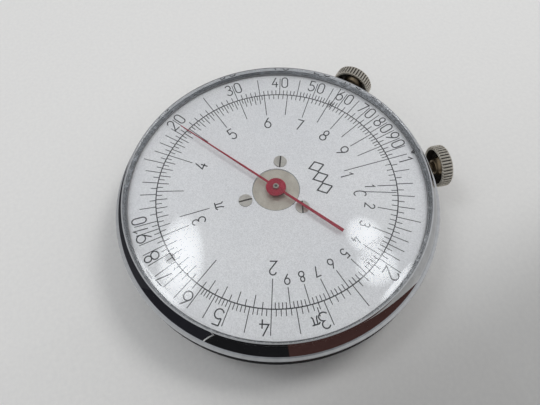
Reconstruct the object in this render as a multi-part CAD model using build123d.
from build123d import *
import math
import os

# A pocket circular slide rule: a chrome watch case with a domed crystal on each side, a turning front
# dial, a fixed rear dial, a needle over each dial on one arbor, and two crowns that drive the front dial
# and the needles through contrate gears.
#
# Millimetres. The origin is the middle of the small flat on the rear crystal, on which the object rests.
# +Z points out of the front dial. Dial angles are counted clockwise from +Y, seen from the front.

# --- case -----------------------------------------------------------------------------------------
THICKNESS = 13.0
MIDDLE = THICKNESS / 2
CASE_R = 26.0
BAND_R = 25.85
BAND_HALF_HEIGHT = 1.1
SHOULDER_R = 24.6
SHOULDER_HALF_HEIGHT = 2.1
MOVEMENT_R = 22.6
FLANGE_HOLE_R = 20.5
FLANGE_THICKNESS = 0.6
PLATE_SEAT_R = 23.3
PLATE_SEAT_Z = MIDDLE - 1.6

# --- bezel: heights are above the middle plane ----------------------------------------------------
LEDGE_HEIGHT = 1.43
LEDGE_R = 25.6
BEZEL_TOP_HEIGHT = 4.45
BEZEL_TOP_R = 24.22
BEZEL_WALL_BULGE = 0.18
BEZEL_EDGE_BREAK = 0.06
CRYSTAL_SEAT_HEIGHT = 3.45
CRYSTAL_BORE_R = 24.0
LIP_R = 23.6
LIP_HEIGHT = 3.1
DIAL_ROOM_R = 24.5
SNAP_CLEARANCE = 0.05

# --- crystals -------------------------------------------------------------------------------------
CRYSTAL_R = 23.98
CRYSTAL_EDGE_HEIGHT = 4.35
CRYSTAL_FOOT_R = 23.62
CRYSTAL_THICKNESS = 0.8
REST_FLAT_RISE = 0.1

# --- dials ----------------------------------------------------------------------------------------
DIAL_R = 24.2
DIAL_FACE_HEIGHT = 3.0
DIAL_THICKNESS = 0.35
DIAL_HOLE_R = 3.72
REAR_DIAL_HOLE_R = 2.0
DIAL_SCREW_CIRCLE_R = 5.2
DIAL_SCREW_ANGLES = (54.0, 174.0, 294.0)
DIAL_SCREW_SLOT_TURNS = (130.0, -7.0, 3.0)
DIAL_SCREW_HEAD_R = 1.07
DIAL_SCREW_HEAD_HEIGHT = 0.16
DIAL_SCREW_SHANK_R = 0.5

# --- crowns ---------------------------------------------------------------------------------------
DIAL_CROWN_ANGLE = 317.2
NEEDLE_CROWN_ANGLE = 4.5
CROWN_R = 3.5
CROWN_INNER = 27.05
CROWN_RIM_END = 28.87
CROWN_END_RISE = 0.45
CROWN_END_R = 3.15
CROWN_END_SHOULDER = 0.15
CROWN_DOME_FULLNESS = 0.75
CROWN_EDGE_BREAK = 0.12
CROWN_DISH_R = 2.95
CROWN_DISH_FLOOR_R = 2.7
CROWN_DISH_DEPTH = 1.0
CROWN_BOSS_R = 1.45
CROWN_BOSS_PROUD = 0.1
CROWN_BORE_END = 28.3
FLUTES = 40
FLUTE_R = 0.17
FLUTE_DEPTH = 0.13
DOT_R = 0.95
DOT_DEPTH = 0.2
TUBE_R = 0.9
TUBE_COLLAR_R = 1.06
TUBE_INNER_END = 22.0
TUBE_COLLAR_START = 25.5
TUBE_COLLAR_END = 26.35
TUBE_OUTER_END = 26.85

# --- gear train -----------------------------------------------------------------------------------
# Both crowns carry an eight-tooth pinion. The dial wheel lies over its pinion with the teeth down, and
# the needle wheel lies under its pinion with the teeth up.
PINION_TEETH = 8
PINION_PITCH_R = 1.15
PINION_TIP_R = 1.4
PINION_ROOT_R = 0.8
PINION_LENGTH = 1.0
DIAL_WHEEL_TEETH = 88
NEEDLE_WHEEL_TEETH = 56
TOOTH_TIP_HALF_WIDTH = 0.09
TOOTH_BASE_HALF_WIDTH = 0.15
TOOTH_LENGTH = 1.5
WHEEL_TOOTH_TIP = 0.9
WHEEL_TOOTH_ROOT = 1.55
WHEEL_TOOTH_SINK = 0.05
PINION_TOOTH_SINK = 0.1
RIM_MARGIN = 0.2
DIAL_MESH_R = DIAL_WHEEL_TEETH * PINION_PITCH_R / PINION_TEETH
NEEDLE_MESH_R = NEEDLE_WHEEL_TEETH * PINION_PITCH_R / PINION_TEETH

# --- shafts and fits ------------------------------------------------------------------------------
RUNNING = 0.04
PRESS_GAP = 0.02
SCREW_END_GAP = 0.05
SCREW_SLOT_WIDTH_RATIO = 0.18
SCREW_SLOT_DEPTH_RATIO = 0.65
ARBOR_R = 0.6
ARBOR_END_R = 0.46
ARBOR_SHOULDER_HEIGHT = 3.5
ARBOR_LENGTH = 8.4
POST_R = 1.5
POST_SPIGOT_R = 1.2
POST_TOP_Z = MIDDLE + 2.2
STEM_R = 0.6
STEM_PINION_R = 0.45
STEM_COLLAR_R = 0.95
STEM_COLLAR_START = 14.3
STEM_COLLAR_END = 14.8
BEARING_START = 15.0
BEARING_END = 18.0
BEARING_WIDTH = 4.2
BEARING_TOP_Z = MIDDLE + 1.2
BEARING_CHAMFER = 0.3
BEARING_SCREW_SPREAD = 1.4
BEARING_SCREW_R = 0.45
BEARING_SCREW_TOP_Z = MIDDLE - 0.9
BEARING_THREAD_SPARE = 0.1

# --- plate and bridge -----------------------------------------------------------------------------
PLATE_BOTTOM_Z = MIDDLE - DIAL_FACE_HEIGHT + DIAL_THICKNESS
PLATE_TOP_Z = MIDDLE - 2.1
PLATE_RIM_INNER_R = 20.8
PLATE_FIT_GAP = 0.03
PLATE_R = PLATE_SEAT_R - PLATE_FIT_GAP
PLATE_SCREW_CIRCLE_R = 21.7
PLATE_SCREW_ANGLES = (90.0, 210.0, 330.0)
PLATE_SCREW_R = 0.4
PLATE_SCREW_HEAD_R = 0.7
COUNTERSINK_DEPTH = 0.25
BUSH_R = 1.3
BUSH_TOP_Z = MIDDLE - 2.06
BRIDGE_BOTTOM_Z = MIDDLE - 0.6
BRIDGE_TOP_Z = MIDDLE + 0.2
BRIDGE_HALF_LENGTH = 11.3
BRIDGE_WIDTH = 3.4
BRIDGE_BOSS_R = 3.0
PILLAR_SPREAD = 10.2
PILLAR_R = 1.05
BRIDGE_SCREW_R = 0.45
BRIDGE_SCREW_HEAD_R = 0.8
BRIDGE_SCREW_HEAD_HEIGHT = 0.3
BRIDGE_SCREW_LENGTH = 1.9
BRIDGE_SCREW_SLOT_TURN = 35.0

# --- wheels ---------------------------------------------------------------------------------------
DIAL_WHEEL_DISC_TOP_Z = MIDDLE + 2.0
DIAL_WHEEL_BOSS_R = 7.2
DIAL_WHEEL_BOTTOM_Z = MIDDLE + 0.45
DIAL_WHEEL_NECK_R = 2.6
DIAL_WHEEL_HUB_TOP_Z = MIDDLE + 2.9
DIAL_WHEEL_HUB_R = 3.7
DIAL_WHEEL_CEILING_Z = MIDDLE + 2.25
DIAL_WHEEL_TOP_HOLE_R = 0.8
NEEDLE_WHEEL_BOTTOM_Z = MIDDLE - 2.0
NEEDLE_WHEEL_HUB_R = 1.8
NEEDLE_WHEEL_HUB_TOP_Z = MIDDLE - 0.8
WASHER_GAP = 0.04

# --- needles --------------------------------------------------------------------------------------
NEEDLE_ANGLE = 233.2
NEEDLE_LENGTH = 20.3
NEEDLE_TAIL = 12.6
NEEDLE_TIP_WIDTH = 0.14
NEEDLE_ROOT_WIDTH = 0.36
NEEDLE_TAIL_ROOT_WIDTH = 0.34
NEEDLE_TAIL_WIDTH = 0.46
NEEDLE_EYE_R = 1.6
NEEDLE_THICKNESS = 0.2
NEEDLE_HEIGHT = 3.66
COLLET_R = 0.95
COLLET_BASE_HEIGHT = 3.3

# --- index ----------------------------------------------------------------------------------------
INDEX_LENGTH = 0.5
INDEX_WIDTH = 0.75
INDEX_BOTTOM_HEIGHT = 3.12
INDEX_THICKNESS = 0.2

UPSIDE_DOWN = Pos(0, 0, MIDDLE) * Rot(180, 0, 0) * Pos(0, 0, -MIDDLE)


# --- small helpers --------------------------------------------------------------------------------
def toward(dial_angle):
    """Turns what lies along +X to the given dial angle."""
    return Rot(0, 0, 90 - dial_angle)


def spoke(dial_angle):
    """Lays what stands along +Z from the origin on the crown axis at the given dial angle."""
    return Pos(0, 0, MIDDLE) * toward(dial_angle) * Rot(0, 90, 0)


def drum(radius, low, high):
    """A cylinder about Z between two heights."""
    return Pos(0, 0, low) * Cylinder(radius, high - low, align=(Align.CENTER, Align.CENTER, Align.MIN))


def tube(outer, inner, low, high):
    """A hollow cylinder about Z between two heights."""
    return drum(outer, low, high) - drum(inner, low, high)


def turned(*outline):
    """A solid turned about Z from edges, or from (radius, height) points, in the XZ plane."""
    edges = Polyline(*outline, close=True) if isinstance(outline[0], tuple) else Curve() + list(outline)
    return revolve(make_face(Plane.XZ * edges), Axis.Z)


def front_to_rear(shape):
    """The same piece on the other side of the middle plane."""
    return mirror(shape, about=Plane.XY.offset(MIDDLE))


def screw(head_r, head_height, shank_r, shank_length, slot_turn=0.0, countersunk=False):
    """A slotted screw that points down, with the underside of its head at height 0."""
    if countersunk:
        head = Pos(0, 0, -head_height) * Cone(
            shank_r, head_r, head_height, align=(Align.CENTER, Align.CENTER, Align.MIN)
        )
        top = 0.0
    else:
        head = drum(head_r, 0, head_height)
        top = head_height
    slot = Box(
        3 * head_r, SCREW_SLOT_WIDTH_RATIO * head_r, 2 * SCREW_SLOT_DEPTH_RATIO * head_height
    )
    return head + drum(shank_r, -shank_length, 0) - Pos(0, 0, top) * Rot(0, 0, slot_turn) * slot


def at_dial_angles(shape, radius, angles):
    """Copies of a piece on a circle, one at each dial angle."""
    return [toward(angle) * Pos(radius, 0, 0) * shape for angle in angles]


def group(shapes):
    """Separate solids that share one node."""
    return Compound(children=shapes)


# --- case -----------------------------------------------------------------------------------------
def case_ring():
    """Middle ring: a low outer band, a shoulder for each bezel and an inner flange for the plate."""
    low = MIDDLE - SHOULDER_HALF_HEIGHT
    high = MIDDLE + SHOULDER_HALF_HEIGHT
    band_low = MIDDLE - BAND_HALF_HEIGHT
    band_high = MIDDLE + BAND_HALF_HEIGHT
    flange_top = PLATE_SEAT_Z + FLANGE_THICKNESS
    body = turned(
        (PLATE_SEAT_R, low),
        (SHOULDER_R, low),
        (SHOULDER_R, band_low),
        (BAND_R, band_low),
        (BAND_R, band_high),
        (SHOULDER_R, band_high),
        (SHOULDER_R, high),
        (MOVEMENT_R, high),
        (MOVEMENT_R, flange_top),
        (FLANGE_HOLE_R, flange_top),
        (FLANGE_HOLE_R, PLATE_SEAT_Z),
        (PLATE_SEAT_R, PLATE_SEAT_Z),
    )
    for angle in (DIAL_CROWN_ANGLE, NEEDLE_CROWN_ANGLE):
        body -= spoke(angle) * drum(TUBE_R, MOVEMENT_R - 1, CASE_R + 1)
        body -= spoke(angle) * drum(TUBE_COLLAR_R, TUBE_COLLAR_START, CASE_R + 1)
    threads = at_dial_angles(drum(PLATE_SCREW_R, PLATE_SEAT_Z, flange_top), PLATE_SCREW_CIRCLE_R,
                             PLATE_SCREW_ANGLES)
    return body - threads


def bezel():
    """Front bezel: ledge, polished wall, seat for the crystal and a lip over the edge of the dial."""
    ledge = MIDDLE + LEDGE_HEIGHT
    foot = MIDDLE + BAND_HALF_HEIGHT
    top = MIDDLE + BEZEL_TOP_HEIGHT
    seat = MIDDLE + CRYSTAL_SEAT_HEIGHT
    lip = MIDDLE + LIP_HEIGHT
    room = MIDDLE + SHOULDER_HALF_HEIGHT + SNAP_CLEARANCE
    bore = SHOULDER_R + SNAP_CLEARANCE
    wall_start = (LEDGE_R, ledge)
    wall_end = (BEZEL_TOP_R, top - BEZEL_EDGE_BREAK)
    bulge = ((wall_start[0] + wall_end[0]) / 2 + BEZEL_WALL_BULGE, (wall_start[1] + wall_end[1]) / 2)
    edge_r = CASE_R - BEZEL_EDGE_BREAK
    return turned(
        Line((bore, foot), (edge_r, foot)),
        Line((edge_r, foot), (CASE_R, foot + BEZEL_EDGE_BREAK)),
        Line((CASE_R, foot + BEZEL_EDGE_BREAK), (CASE_R, ledge - BEZEL_EDGE_BREAK)),
        Line((CASE_R, ledge - BEZEL_EDGE_BREAK), (edge_r, ledge)),
        Line((edge_r, ledge), wall_start),
        ThreePointArc(wall_start, bulge, wall_end),
        Line(wall_end, (BEZEL_TOP_R - BEZEL_EDGE_BREAK, top)),
        Line((BEZEL_TOP_R - BEZEL_EDGE_BREAK, top), (CRYSTAL_BORE_R, top)),
        Line((CRYSTAL_BORE_R, top), (CRYSTAL_BORE_R, seat)),
        Line((CRYSTAL_BORE_R, seat), (LIP_R, seat)),
        Line((LIP_R, seat), (LIP_R, lip)),
        Line((LIP_R, lip), (DIAL_ROOM_R, lip)),
        Line((DIAL_ROOM_R, lip), (DIAL_ROOM_R, room)),
        Line((DIAL_ROOM_R, room), (bore, room)),
        Line((bore, room), (bore, foot)),
    )


def dome_arc(end_r, end_height, apex_height):
    """Half of a shallow dome as an arc, from its edge up to the apex."""
    rise = apex_height - end_height
    sphere_r = (end_r**2 + rise**2) / (2 * rise)
    half_r = end_r / 2
    half_height = apex_height - sphere_r + math.sqrt(sphere_r**2 - half_r**2)
    return ThreePointArc(
        (end_r, MIDDLE + end_height), (half_r, MIDDLE + half_height), (0, MIDDLE + apex_height)
    )


def crystal(apex_height):
    """Front crystal: a shallow dome of one thickness that stands on the seat of the bezel."""
    seat = MIDDLE + CRYSTAL_SEAT_HEIGHT
    inner_apex = apex_height - CRYSTAL_THICKNESS
    return turned(
        dome_arc(CRYSTAL_R, CRYSTAL_EDGE_HEIGHT, apex_height),
        Line((CRYSTAL_R, MIDDLE + CRYSTAL_EDGE_HEIGHT), (CRYSTAL_R, seat)),
        Line((CRYSTAL_R, seat), (CRYSTAL_FOOT_R, seat)),
        dome_arc(CRYSTAL_FOOT_R, CRYSTAL_SEAT_HEIGHT, inner_apex),
        Line((0, MIDDLE + inner_apex), (0, MIDDLE + apex_height)),
    )


def rear_crystal():
    """Rear crystal: the same dome, its apex ground to the flat that the object rests on."""
    dome = front_to_rear(crystal(MIDDLE + REST_FLAT_RISE))
    return dome - drum(CASE_R, -1, 0)


def index_pointer():
    """Small fixed pointer on the lip of the front bezel, at dial angle 0."""
    base_r = math.sqrt(LIP_R**2 - (INDEX_WIDTH / 2) ** 2)
    outline = Polyline(
        (base_r, INDEX_WIDTH / 2), (base_r, -INDEX_WIDTH / 2), (base_r - INDEX_LENGTH, 0), close=True
    )
    plate = extrude(make_face(outline), INDEX_THICKNESS)
    return toward(0) * Pos(0, 0, MIDDLE + INDEX_BOTTOM_HEIGHT) * plate


# --- dials ----------------------------------------------------------------------------------------
def dial(hole_r):
    """Flat dial on the front side, with a centre hole and three screw holes."""
    top = MIDDLE + DIAL_FACE_HEIGHT
    bottom = top - DIAL_THICKNESS
    holes = at_dial_angles(drum(DIAL_SCREW_SHANK_R + PRESS_GAP, bottom, top), DIAL_SCREW_CIRCLE_R,
                           DIAL_SCREW_ANGLES)
    return tube(DIAL_R, hole_r, bottom, top) - holes


def dial_screws(shank_length):
    """Three slotted screws on the front dial."""
    top = MIDDLE + DIAL_FACE_HEIGHT
    return [
        toward(angle)
        * Pos(DIAL_SCREW_CIRCLE_R, 0, top)
        * screw(DIAL_SCREW_HEAD_R, DIAL_SCREW_HEAD_HEIGHT, DIAL_SCREW_SHANK_R, shank_length, turn)
        for angle, turn in zip(DIAL_SCREW_ANGLES, DIAL_SCREW_SLOT_TURNS)
    ]


# --- plate, bridge and bearings -------------------------------------------------------------------
def bearing_screw_places():
    """Where the four bearing screws stand, in the plane of the plate."""
    middle_r = (BEARING_START + BEARING_END) / 2
    return [
        toward(angle) * Pos(middle_r, side * BEARING_SCREW_SPREAD, 0)
        for angle in (DIAL_CROWN_ANGLE, NEEDLE_CROWN_ANGLE)
        for side in (-1, 1)
    ]


def countersink(shank_r, head_r):
    """The hole that a countersunk screw leaves in the rear face of the plate."""
    cone = Pos(0, 0, PLATE_BOTTOM_Z) * Cone(
        head_r, shank_r, COUNTERSINK_DEPTH, align=(Align.CENTER, Align.CENTER, Align.MIN)
    )
    return cone + drum(shank_r, PLATE_BOTTOM_Z, PLATE_SEAT_Z)


def main_plate():
    """Thin plate that closes the movement at the rear, with a raised rim."""
    plate = drum(PLATE_R, PLATE_BOTTOM_Z, PLATE_TOP_Z)
    plate += tube(PLATE_R, PLATE_RIM_INNER_R, PLATE_TOP_Z, PLATE_SEAT_Z)
    plate -= drum(BUSH_R, PLATE_BOTTOM_Z, PLATE_TOP_Z)
    plate -= at_dial_angles(countersink(PLATE_SCREW_R, PLATE_SCREW_HEAD_R), PLATE_SCREW_CIRCLE_R,
                            PLATE_SCREW_ANGLES)
    plate -= at_dial_angles(drum(DIAL_SCREW_SHANK_R, PLATE_BOTTOM_Z, PLATE_TOP_Z), DIAL_SCREW_CIRCLE_R,
                            [180 - angle for angle in DIAL_SCREW_ANGLES])
    plate -= [
        place * countersink(BEARING_SCREW_R, BEARING_SCREW_R + COUNTERSINK_DEPTH)
        for place in bearing_screw_places()
    ]
    return plate


def plate_screws():
    """Three countersunk screws that hold the plate to the flange of the case ring."""
    one = screw(PLATE_SCREW_HEAD_R, COUNTERSINK_DEPTH, PLATE_SCREW_R,
                PLATE_SEAT_Z + FLANGE_THICKNESS - SCREW_END_GAP - PLATE_BOTTOM_Z, countersunk=True)
    upward = Pos(0, 0, PLATE_BOTTOM_Z) * Rot(180, 0, 0) * one
    return group(at_dial_angles(upward, PLATE_SCREW_CIRCLE_R, PLATE_SCREW_ANGLES))


def bearing_screws():
    """Four countersunk screws that hold the two stem bearings to the plate."""
    one = screw(BEARING_SCREW_R + COUNTERSINK_DEPTH, COUNTERSINK_DEPTH, BEARING_SCREW_R,
                BEARING_SCREW_TOP_Z - PLATE_BOTTOM_Z, countersunk=True)
    upward = Pos(0, 0, PLATE_BOTTOM_Z) * Rot(180, 0, 0) * one
    return group([place * upward for place in bearing_screw_places()])


def arbor_bush():
    """Bush in the plate that the needle arbor turns in."""
    return tube(BUSH_R, ARBOR_R + RUNNING, PLATE_BOTTOM_Z, BUSH_TOP_Z)


def stem_bearing(dial_angle):
    """Block on the plate that carries the inner half of a crown stem."""
    length = BEARING_END - BEARING_START
    block = Pos(BEARING_START, 0, PLATE_TOP_Z) * Box(
        length, BEARING_WIDTH, BEARING_TOP_Z - PLATE_TOP_Z, align=(Align.MIN, Align.CENTER, Align.MIN)
    )
    block = chamfer(block.faces().sort_by(Axis.Z)[-1].edges(), BEARING_CHAMFER)
    block = toward(dial_angle) * block
    block -= spoke(dial_angle) * drum(STEM_R + RUNNING, BEARING_START - 1, BEARING_END + 1)
    threads = drum(BEARING_SCREW_R, PLATE_TOP_Z - 1, BEARING_SCREW_TOP_Z + BEARING_THREAD_SPARE)
    return block - [place * threads for place in bearing_screw_places()]


def bridge_pillars():
    """Two threaded pillars between the plate and the bridge."""
    pillar = tube(PILLAR_R, BRIDGE_SCREW_R, PLATE_TOP_Z, BRIDGE_BOTTOM_Z)
    return group([Pos(side * PILLAR_SPREAD, 0, 0) * pillar for side in (-1, 1)])


def wheel_bridge():
    """Bar over the needle wheel, with a boss for the centre post."""
    thickness = BRIDGE_TOP_Z - BRIDGE_BOTTOM_Z
    bar = Pos(0, 0, BRIDGE_BOTTOM_Z) * extrude(
        SlotOverall(2 * BRIDGE_HALF_LENGTH, BRIDGE_WIDTH), thickness
    )
    bar += drum(BRIDGE_BOSS_R, BRIDGE_BOTTOM_Z, BRIDGE_TOP_Z)
    bar -= drum(POST_SPIGOT_R, BRIDGE_BOTTOM_Z, BRIDGE_TOP_Z)
    for side in (-1, 1):
        bar -= Pos(side * PILLAR_SPREAD, 0, 0) * drum(BRIDGE_SCREW_R, BRIDGE_BOTTOM_Z, BRIDGE_TOP_Z)
    return bar


def bridge_screws():
    """Two slotted screws that hold the bridge to its pillars."""
    one = screw(BRIDGE_SCREW_HEAD_R, BRIDGE_SCREW_HEAD_HEIGHT, BRIDGE_SCREW_R, BRIDGE_SCREW_LENGTH,
                BRIDGE_SCREW_SLOT_TURN)
    return group([Pos(side * PILLAR_SPREAD, 0, BRIDGE_TOP_Z) * one for side in (-1, 1)])


def centre_post():
    """Hollow post on the bridge: the dial wheel turns on it and the needle arbor turns in it."""
    post = drum(POST_SPIGOT_R, BRIDGE_BOTTOM_Z, BRIDGE_TOP_Z) + drum(POST_R, BRIDGE_TOP_Z, POST_TOP_Z)
    return post - drum(ARBOR_R + RUNNING, BRIDGE_BOTTOM_Z, POST_TOP_Z)


# --- wheels ---------------------------------------------------------------------------------------
def contrate_teeth(count, mesh_r, mesh_angle, root_z, tip_z):
    """Teeth of a face gear, one of them at the dial angle of the stem that drives the wheel."""
    sink = WHEEL_TOOTH_SINK if root_z > tip_z else -WHEEL_TOOTH_SINK
    outline = Polyline(
        (-TOOTH_BASE_HALF_WIDTH, root_z + sink),
        (TOOTH_BASE_HALF_WIDTH, root_z + sink),
        (TOOTH_BASE_HALF_WIDTH, root_z),
        (TOOTH_TIP_HALF_WIDTH, tip_z),
        (-TOOTH_TIP_HALF_WIDTH, tip_z),
        (-TOOTH_BASE_HALF_WIDTH, root_z),
        close=True,
    )
    tooth = Pos(mesh_r - TOOTH_LENGTH / 2, 0, 0) * extrude(make_face(Plane.YZ * outline), TOOTH_LENGTH)
    step = 360 / count
    return [toward(mesh_angle + number * step) * tooth for number in range(count)]


def dial_wheel():
    """Wheel under the front dial: hub on the centre post, seat for the dial, teeth facing down."""
    root_z = MIDDLE + WHEEL_TOOTH_ROOT
    disc_r = DIAL_MESH_R + TOOTH_LENGTH / 2 + RIM_MARGIN
    dial_bottom = MIDDLE + DIAL_FACE_HEIGHT - DIAL_THICKNESS
    wheel = drum(disc_r, root_z, DIAL_WHEEL_DISC_TOP_Z)
    wheel += drum(DIAL_WHEEL_BOSS_R, root_z, dial_bottom)
    wheel += drum(DIAL_WHEEL_HUB_R, root_z, DIAL_WHEEL_HUB_TOP_Z)
    wheel += drum(DIAL_WHEEL_NECK_R, DIAL_WHEEL_BOTTOM_Z, root_z)
    wheel -= drum(POST_R + RUNNING, DIAL_WHEEL_BOTTOM_Z, DIAL_WHEEL_CEILING_Z)
    wheel -= drum(DIAL_WHEEL_TOP_HOLE_R, DIAL_WHEEL_CEILING_Z, DIAL_WHEEL_HUB_TOP_Z)
    wheel -= at_dial_angles(drum(DIAL_SCREW_SHANK_R, root_z, dial_bottom), DIAL_SCREW_CIRCLE_R,
                            DIAL_SCREW_ANGLES)
    return wheel + contrate_teeth(
        DIAL_WHEEL_TEETH, DIAL_MESH_R, DIAL_CROWN_ANGLE, root_z, MIDDLE + WHEEL_TOOTH_TIP
    )


def needle_wheel():
    """Wheel on the needle arbor: disc over the plate, teeth facing up."""
    root_z = MIDDLE - WHEEL_TOOTH_ROOT
    disc_r = NEEDLE_MESH_R + TOOTH_LENGTH / 2 + RIM_MARGIN
    wheel = drum(disc_r, NEEDLE_WHEEL_BOTTOM_Z, root_z)
    wheel += drum(NEEDLE_WHEEL_HUB_R, root_z, NEEDLE_WHEEL_HUB_TOP_Z)
    wheel -= drum(ARBOR_R, NEEDLE_WHEEL_BOTTOM_Z, NEEDLE_WHEEL_HUB_TOP_Z)
    return wheel + contrate_teeth(
        NEEDLE_WHEEL_TEETH, NEEDLE_MESH_R, NEEDLE_CROWN_ANGLE, root_z, MIDDLE - WHEEL_TOOTH_TIP
    )


def dial_friction_washer():
    """Washer between the bridge and the neck of the dial wheel."""
    return tube(DIAL_WHEEL_NECK_R, POST_R + RUNNING, BRIDGE_TOP_Z + WASHER_GAP, DIAL_WHEEL_BOTTOM_Z)


def needle_friction_washer():
    """Washer between the hub of the needle wheel and the bridge."""
    return tube(NEEDLE_WHEEL_HUB_R, ARBOR_R, NEEDLE_WHEEL_HUB_TOP_Z, BRIDGE_BOTTOM_Z - WASHER_GAP)


def pinion(dial_angle, mesh_r, gap_side):
    """Eight-tooth pinion on a crown stem, with a tooth gap up (+1) or down (-1) at rest."""
    body = drum(PINION_ROOT_R, 0, PINION_LENGTH)
    outline = Polyline(
        (PINION_ROOT_R - PINION_TOOTH_SINK, -TOOTH_BASE_HALF_WIDTH),
        (PINION_TIP_R, -TOOTH_TIP_HALF_WIDTH),
        (PINION_TIP_R, TOOTH_TIP_HALF_WIDTH),
        (PINION_ROOT_R - PINION_TOOTH_SINK, TOOTH_BASE_HALF_WIDTH),
        close=True,
    )
    tooth = extrude(make_face(outline), PINION_LENGTH)
    step = 360 / PINION_TEETH
    first = 0 if gap_side < 0 else 180
    half_step = step / 2
    body += [Rot(0, 0, first + half_step + number * step) * tooth for number in range(PINION_TEETH)]
    body -= drum(STEM_PINION_R, 0, PINION_LENGTH)
    return spoke(dial_angle) * Pos(0, 0, mesh_r - PINION_LENGTH / 2) * body


# --- needles --------------------------------------------------------------------------------------
def needle_arbor():
    """Steel shaft right through the movement, thinner where it carries the needles."""
    half = ARBOR_LENGTH / 2
    return turned(
        (0, MIDDLE - half),
        (ARBOR_END_R, MIDDLE - half),
        (ARBOR_END_R, MIDDLE - ARBOR_SHOULDER_HEIGHT),
        (ARBOR_R, MIDDLE - ARBOR_SHOULDER_HEIGHT),
        (ARBOR_R, MIDDLE + ARBOR_SHOULDER_HEIGHT),
        (ARBOR_END_R, MIDDLE + ARBOR_SHOULDER_HEIGHT),
        (ARBOR_END_R, MIDDLE + half),
        (0, MIDDLE + half),
    )


def needle():
    """Front needle: a long tapered pointer, an eye and a tail that widens."""
    outline = Polyline(
        (NEEDLE_LENGTH, NEEDLE_TIP_WIDTH / 2),
        (0, NEEDLE_ROOT_WIDTH / 2),
        (0, NEEDLE_TAIL_ROOT_WIDTH / 2),
        (-NEEDLE_TAIL, NEEDLE_TAIL_WIDTH / 2),
        (-NEEDLE_TAIL, -NEEDLE_TAIL_WIDTH / 2),
        (0, -NEEDLE_TAIL_ROOT_WIDTH / 2),
        (0, -NEEDLE_ROOT_WIDTH / 2),
        (NEEDLE_LENGTH, -NEEDLE_TIP_WIDTH / 2),
        close=True,
    )
    blade = extrude(make_face(outline), NEEDLE_THICKNESS)
    blade += drum(NEEDLE_EYE_R, 0, NEEDLE_THICKNESS)
    blade -= drum(ARBOR_END_R, 0, NEEDLE_THICKNESS)
    return toward(NEEDLE_ANGLE) * Pos(0, 0, MIDDLE + NEEDLE_HEIGHT) * blade


def needle_collet():
    """Front collet: the sleeve that joins a needle to the arbor."""
    base = MIDDLE + COLLET_BASE_HEIGHT
    sleeve = drum(COLLET_R, base, MIDDLE + NEEDLE_HEIGHT)
    sleeve -= drum(ARBOR_R, base, MIDDLE + ARBOR_SHOULDER_HEIGHT)
    return sleeve - drum(ARBOR_END_R, base, MIDDLE + NEEDLE_HEIGHT)


# --- crowns ---------------------------------------------------------------------------------------
def crown_tube(dial_angle):
    """Brass tube in the case ring that the crown stem turns in."""
    body = tube(TUBE_R, STEM_R + RUNNING, TUBE_INNER_END, TUBE_OUTER_END)
    body += tube(TUBE_COLLAR_R, STEM_R + RUNNING, TUBE_COLLAR_START, TUBE_COLLAR_END)
    return spoke(dial_angle) * body


def crown(dial_angle):
    """Knurled crown: dished inner face with a boss, fluted rim and a gently domed end."""
    boss_end = CROWN_INNER - CROWN_BOSS_PROUD
    dish_floor = CROWN_INNER + CROWN_DISH_DEPTH
    rim_r = CROWN_R - CROWN_EDGE_BREAK
    rim_start = CROWN_INNER + CROWN_EDGE_BREAK
    rim_end = CROWN_RIM_END - CROWN_EDGE_BREAK
    dome_start = CROWN_RIM_END + CROWN_END_SHOULDER
    apex = CROWN_RIM_END + CROWN_END_RISE
    dome_middle = (CROWN_END_R / 2, dome_start + CROWN_DOME_FULLNESS * (apex - dome_start))
    body = turned(
        Line((0, boss_end), (CROWN_BOSS_R, boss_end)),
        Line((CROWN_BOSS_R, boss_end), (CROWN_BOSS_R, dish_floor)),
        Line((CROWN_BOSS_R, dish_floor), (CROWN_DISH_FLOOR_R, dish_floor)),
        Line((CROWN_DISH_FLOOR_R, dish_floor), (CROWN_DISH_R, CROWN_INNER)),
        Line((CROWN_DISH_R, CROWN_INNER), (rim_r, CROWN_INNER)),
        Line((rim_r, CROWN_INNER), (CROWN_R, rim_start)),
        Line((CROWN_R, rim_start), (CROWN_R, rim_end)),
        Line((CROWN_R, rim_end), (CROWN_END_R, dome_start)),
        ThreePointArc((CROWN_END_R, dome_start), dome_middle, (0, apex)),
        Line((0, apex), (0, boss_end)),
    )
    body -= drum(STEM_R + PRESS_GAP, boss_end, CROWN_BORE_END)
    body -= drum(DOT_R, apex - DOT_DEPTH, apex)
    groove = Pos(CROWN_R + FLUTE_R - FLUTE_DEPTH, 0, 0) * drum(FLUTE_R, boss_end, apex)
    body -= [Rot(0, 0, number * 360 / FLUTES) * groove for number in range(FLUTES)]
    return spoke(dial_angle) * body


def crown_dot(dial_angle):
    """Enamel dot inlaid in the end of a crown."""
    apex = CROWN_RIM_END + CROWN_END_RISE
    return spoke(dial_angle) * drum(DOT_R - PRESS_GAP, apex - DOT_DEPTH, apex - PRESS_GAP)


def crown_stem(dial_angle, mesh_r):
    """Stem: thin end for the pinion, collar inside the bearing block, outer end in the crown."""
    pinion_end = mesh_r + PINION_LENGTH / 2
    body = drum(STEM_PINION_R, mesh_r - PINION_LENGTH / 2, pinion_end)
    body += drum(STEM_R, pinion_end, CROWN_BORE_END)
    body += drum(STEM_COLLAR_R, STEM_COLLAR_START, STEM_COLLAR_END)
    return spoke(dial_angle) * body


# --- every node -----------------------------------------------------------------------------------
front_screw_length = DIAL_FACE_HEIGHT - WHEEL_TOOTH_ROOT - SCREW_END_GAP
rear_screw_length = PLATE_TOP_Z - (MIDDLE - DIAL_FACE_HEIGHT) - SCREW_END_GAP

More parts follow.
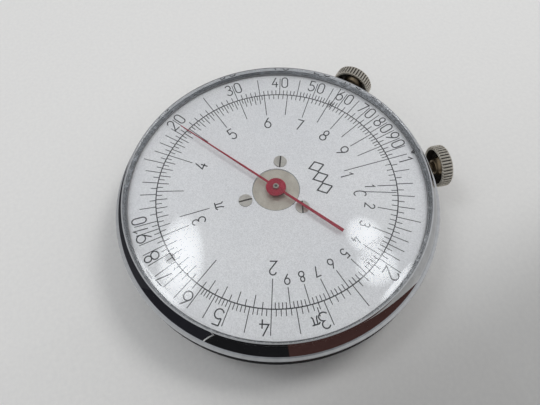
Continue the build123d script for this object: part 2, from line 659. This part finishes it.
nodes = {
    "case_ring": case_ring(),
    "front_bezel": bezel(),
    "rear_bezel": front_to_rear(bezel()),
    "front_crystal": crystal(MIDDLE),
    "rear_crystal": rear_crystal(),
    "index_pointer": index_pointer(),
    "main_plate": main_plate(),
    "plate_screws": plate_screws(),
    "rear_dial": UPSIDE_DOWN * dial(REAR_DIAL_HOLE_R),
    "rear_dial_screws": UPSIDE_DOWN * group(dial_screws(rear_screw_length)),
    "arbor_bush": arbor_bush(),
    "bridge_pillars": bridge_pillars(),
    "wheel_bridge": wheel_bridge(),
    "bridge_screws": bridge_screws(),
    "centre_post": centre_post(),
    "dial_stem_bearing": stem_bearing(DIAL_CROWN_ANGLE),
    "needle_stem_bearing": stem_bearing(NEEDLE_CROWN_ANGLE),
    "bearing_screws": bearing_screws(),
    "dial_crown_tube": crown_tube(DIAL_CROWN_ANGLE),
    "needle_crown_tube": crown_tube(NEEDLE_CROWN_ANGLE),
    "front_dial": dial(DIAL_HOLE_R),
    "dial_wheel": dial_wheel(),
    "dial_screws": group(dial_screws(front_screw_length)),
    "dial_friction_washer": dial_friction_washer(),
    "needle_arbor": needle_arbor(),
    "needle_wheel": needle_wheel(),
    "needle_friction_washer": needle_friction_washer(),
    "front_needle": needle(),
    "front_collet": needle_collet(),
    "rear_needle": front_to_rear(needle()),
    "rear_collet": front_to_rear(needle_collet()),
    "dial_crown": crown(DIAL_CROWN_ANGLE),
    "dial_crown_dot": crown_dot(DIAL_CROWN_ANGLE),
    "dial_stem": crown_stem(DIAL_CROWN_ANGLE, DIAL_MESH_R),
    "dial_pinion": pinion(DIAL_CROWN_ANGLE, DIAL_MESH_R, 1),
    "needle_crown": crown(NEEDLE_CROWN_ANGLE),
    "needle_crown_dot": crown_dot(NEEDLE_CROWN_ANGLE),
    "needle_stem": crown_stem(NEEDLE_CROWN_ANGLE, NEEDLE_MESH_R),
    "needle_pinion": pinion(NEEDLE_CROWN_ANGLE, NEEDLE_MESH_R, -1),
}

os.makedirs("parts", exist_ok=True)
for name, shape in nodes.items():
    export_step(shape, f"parts/{name}.step")
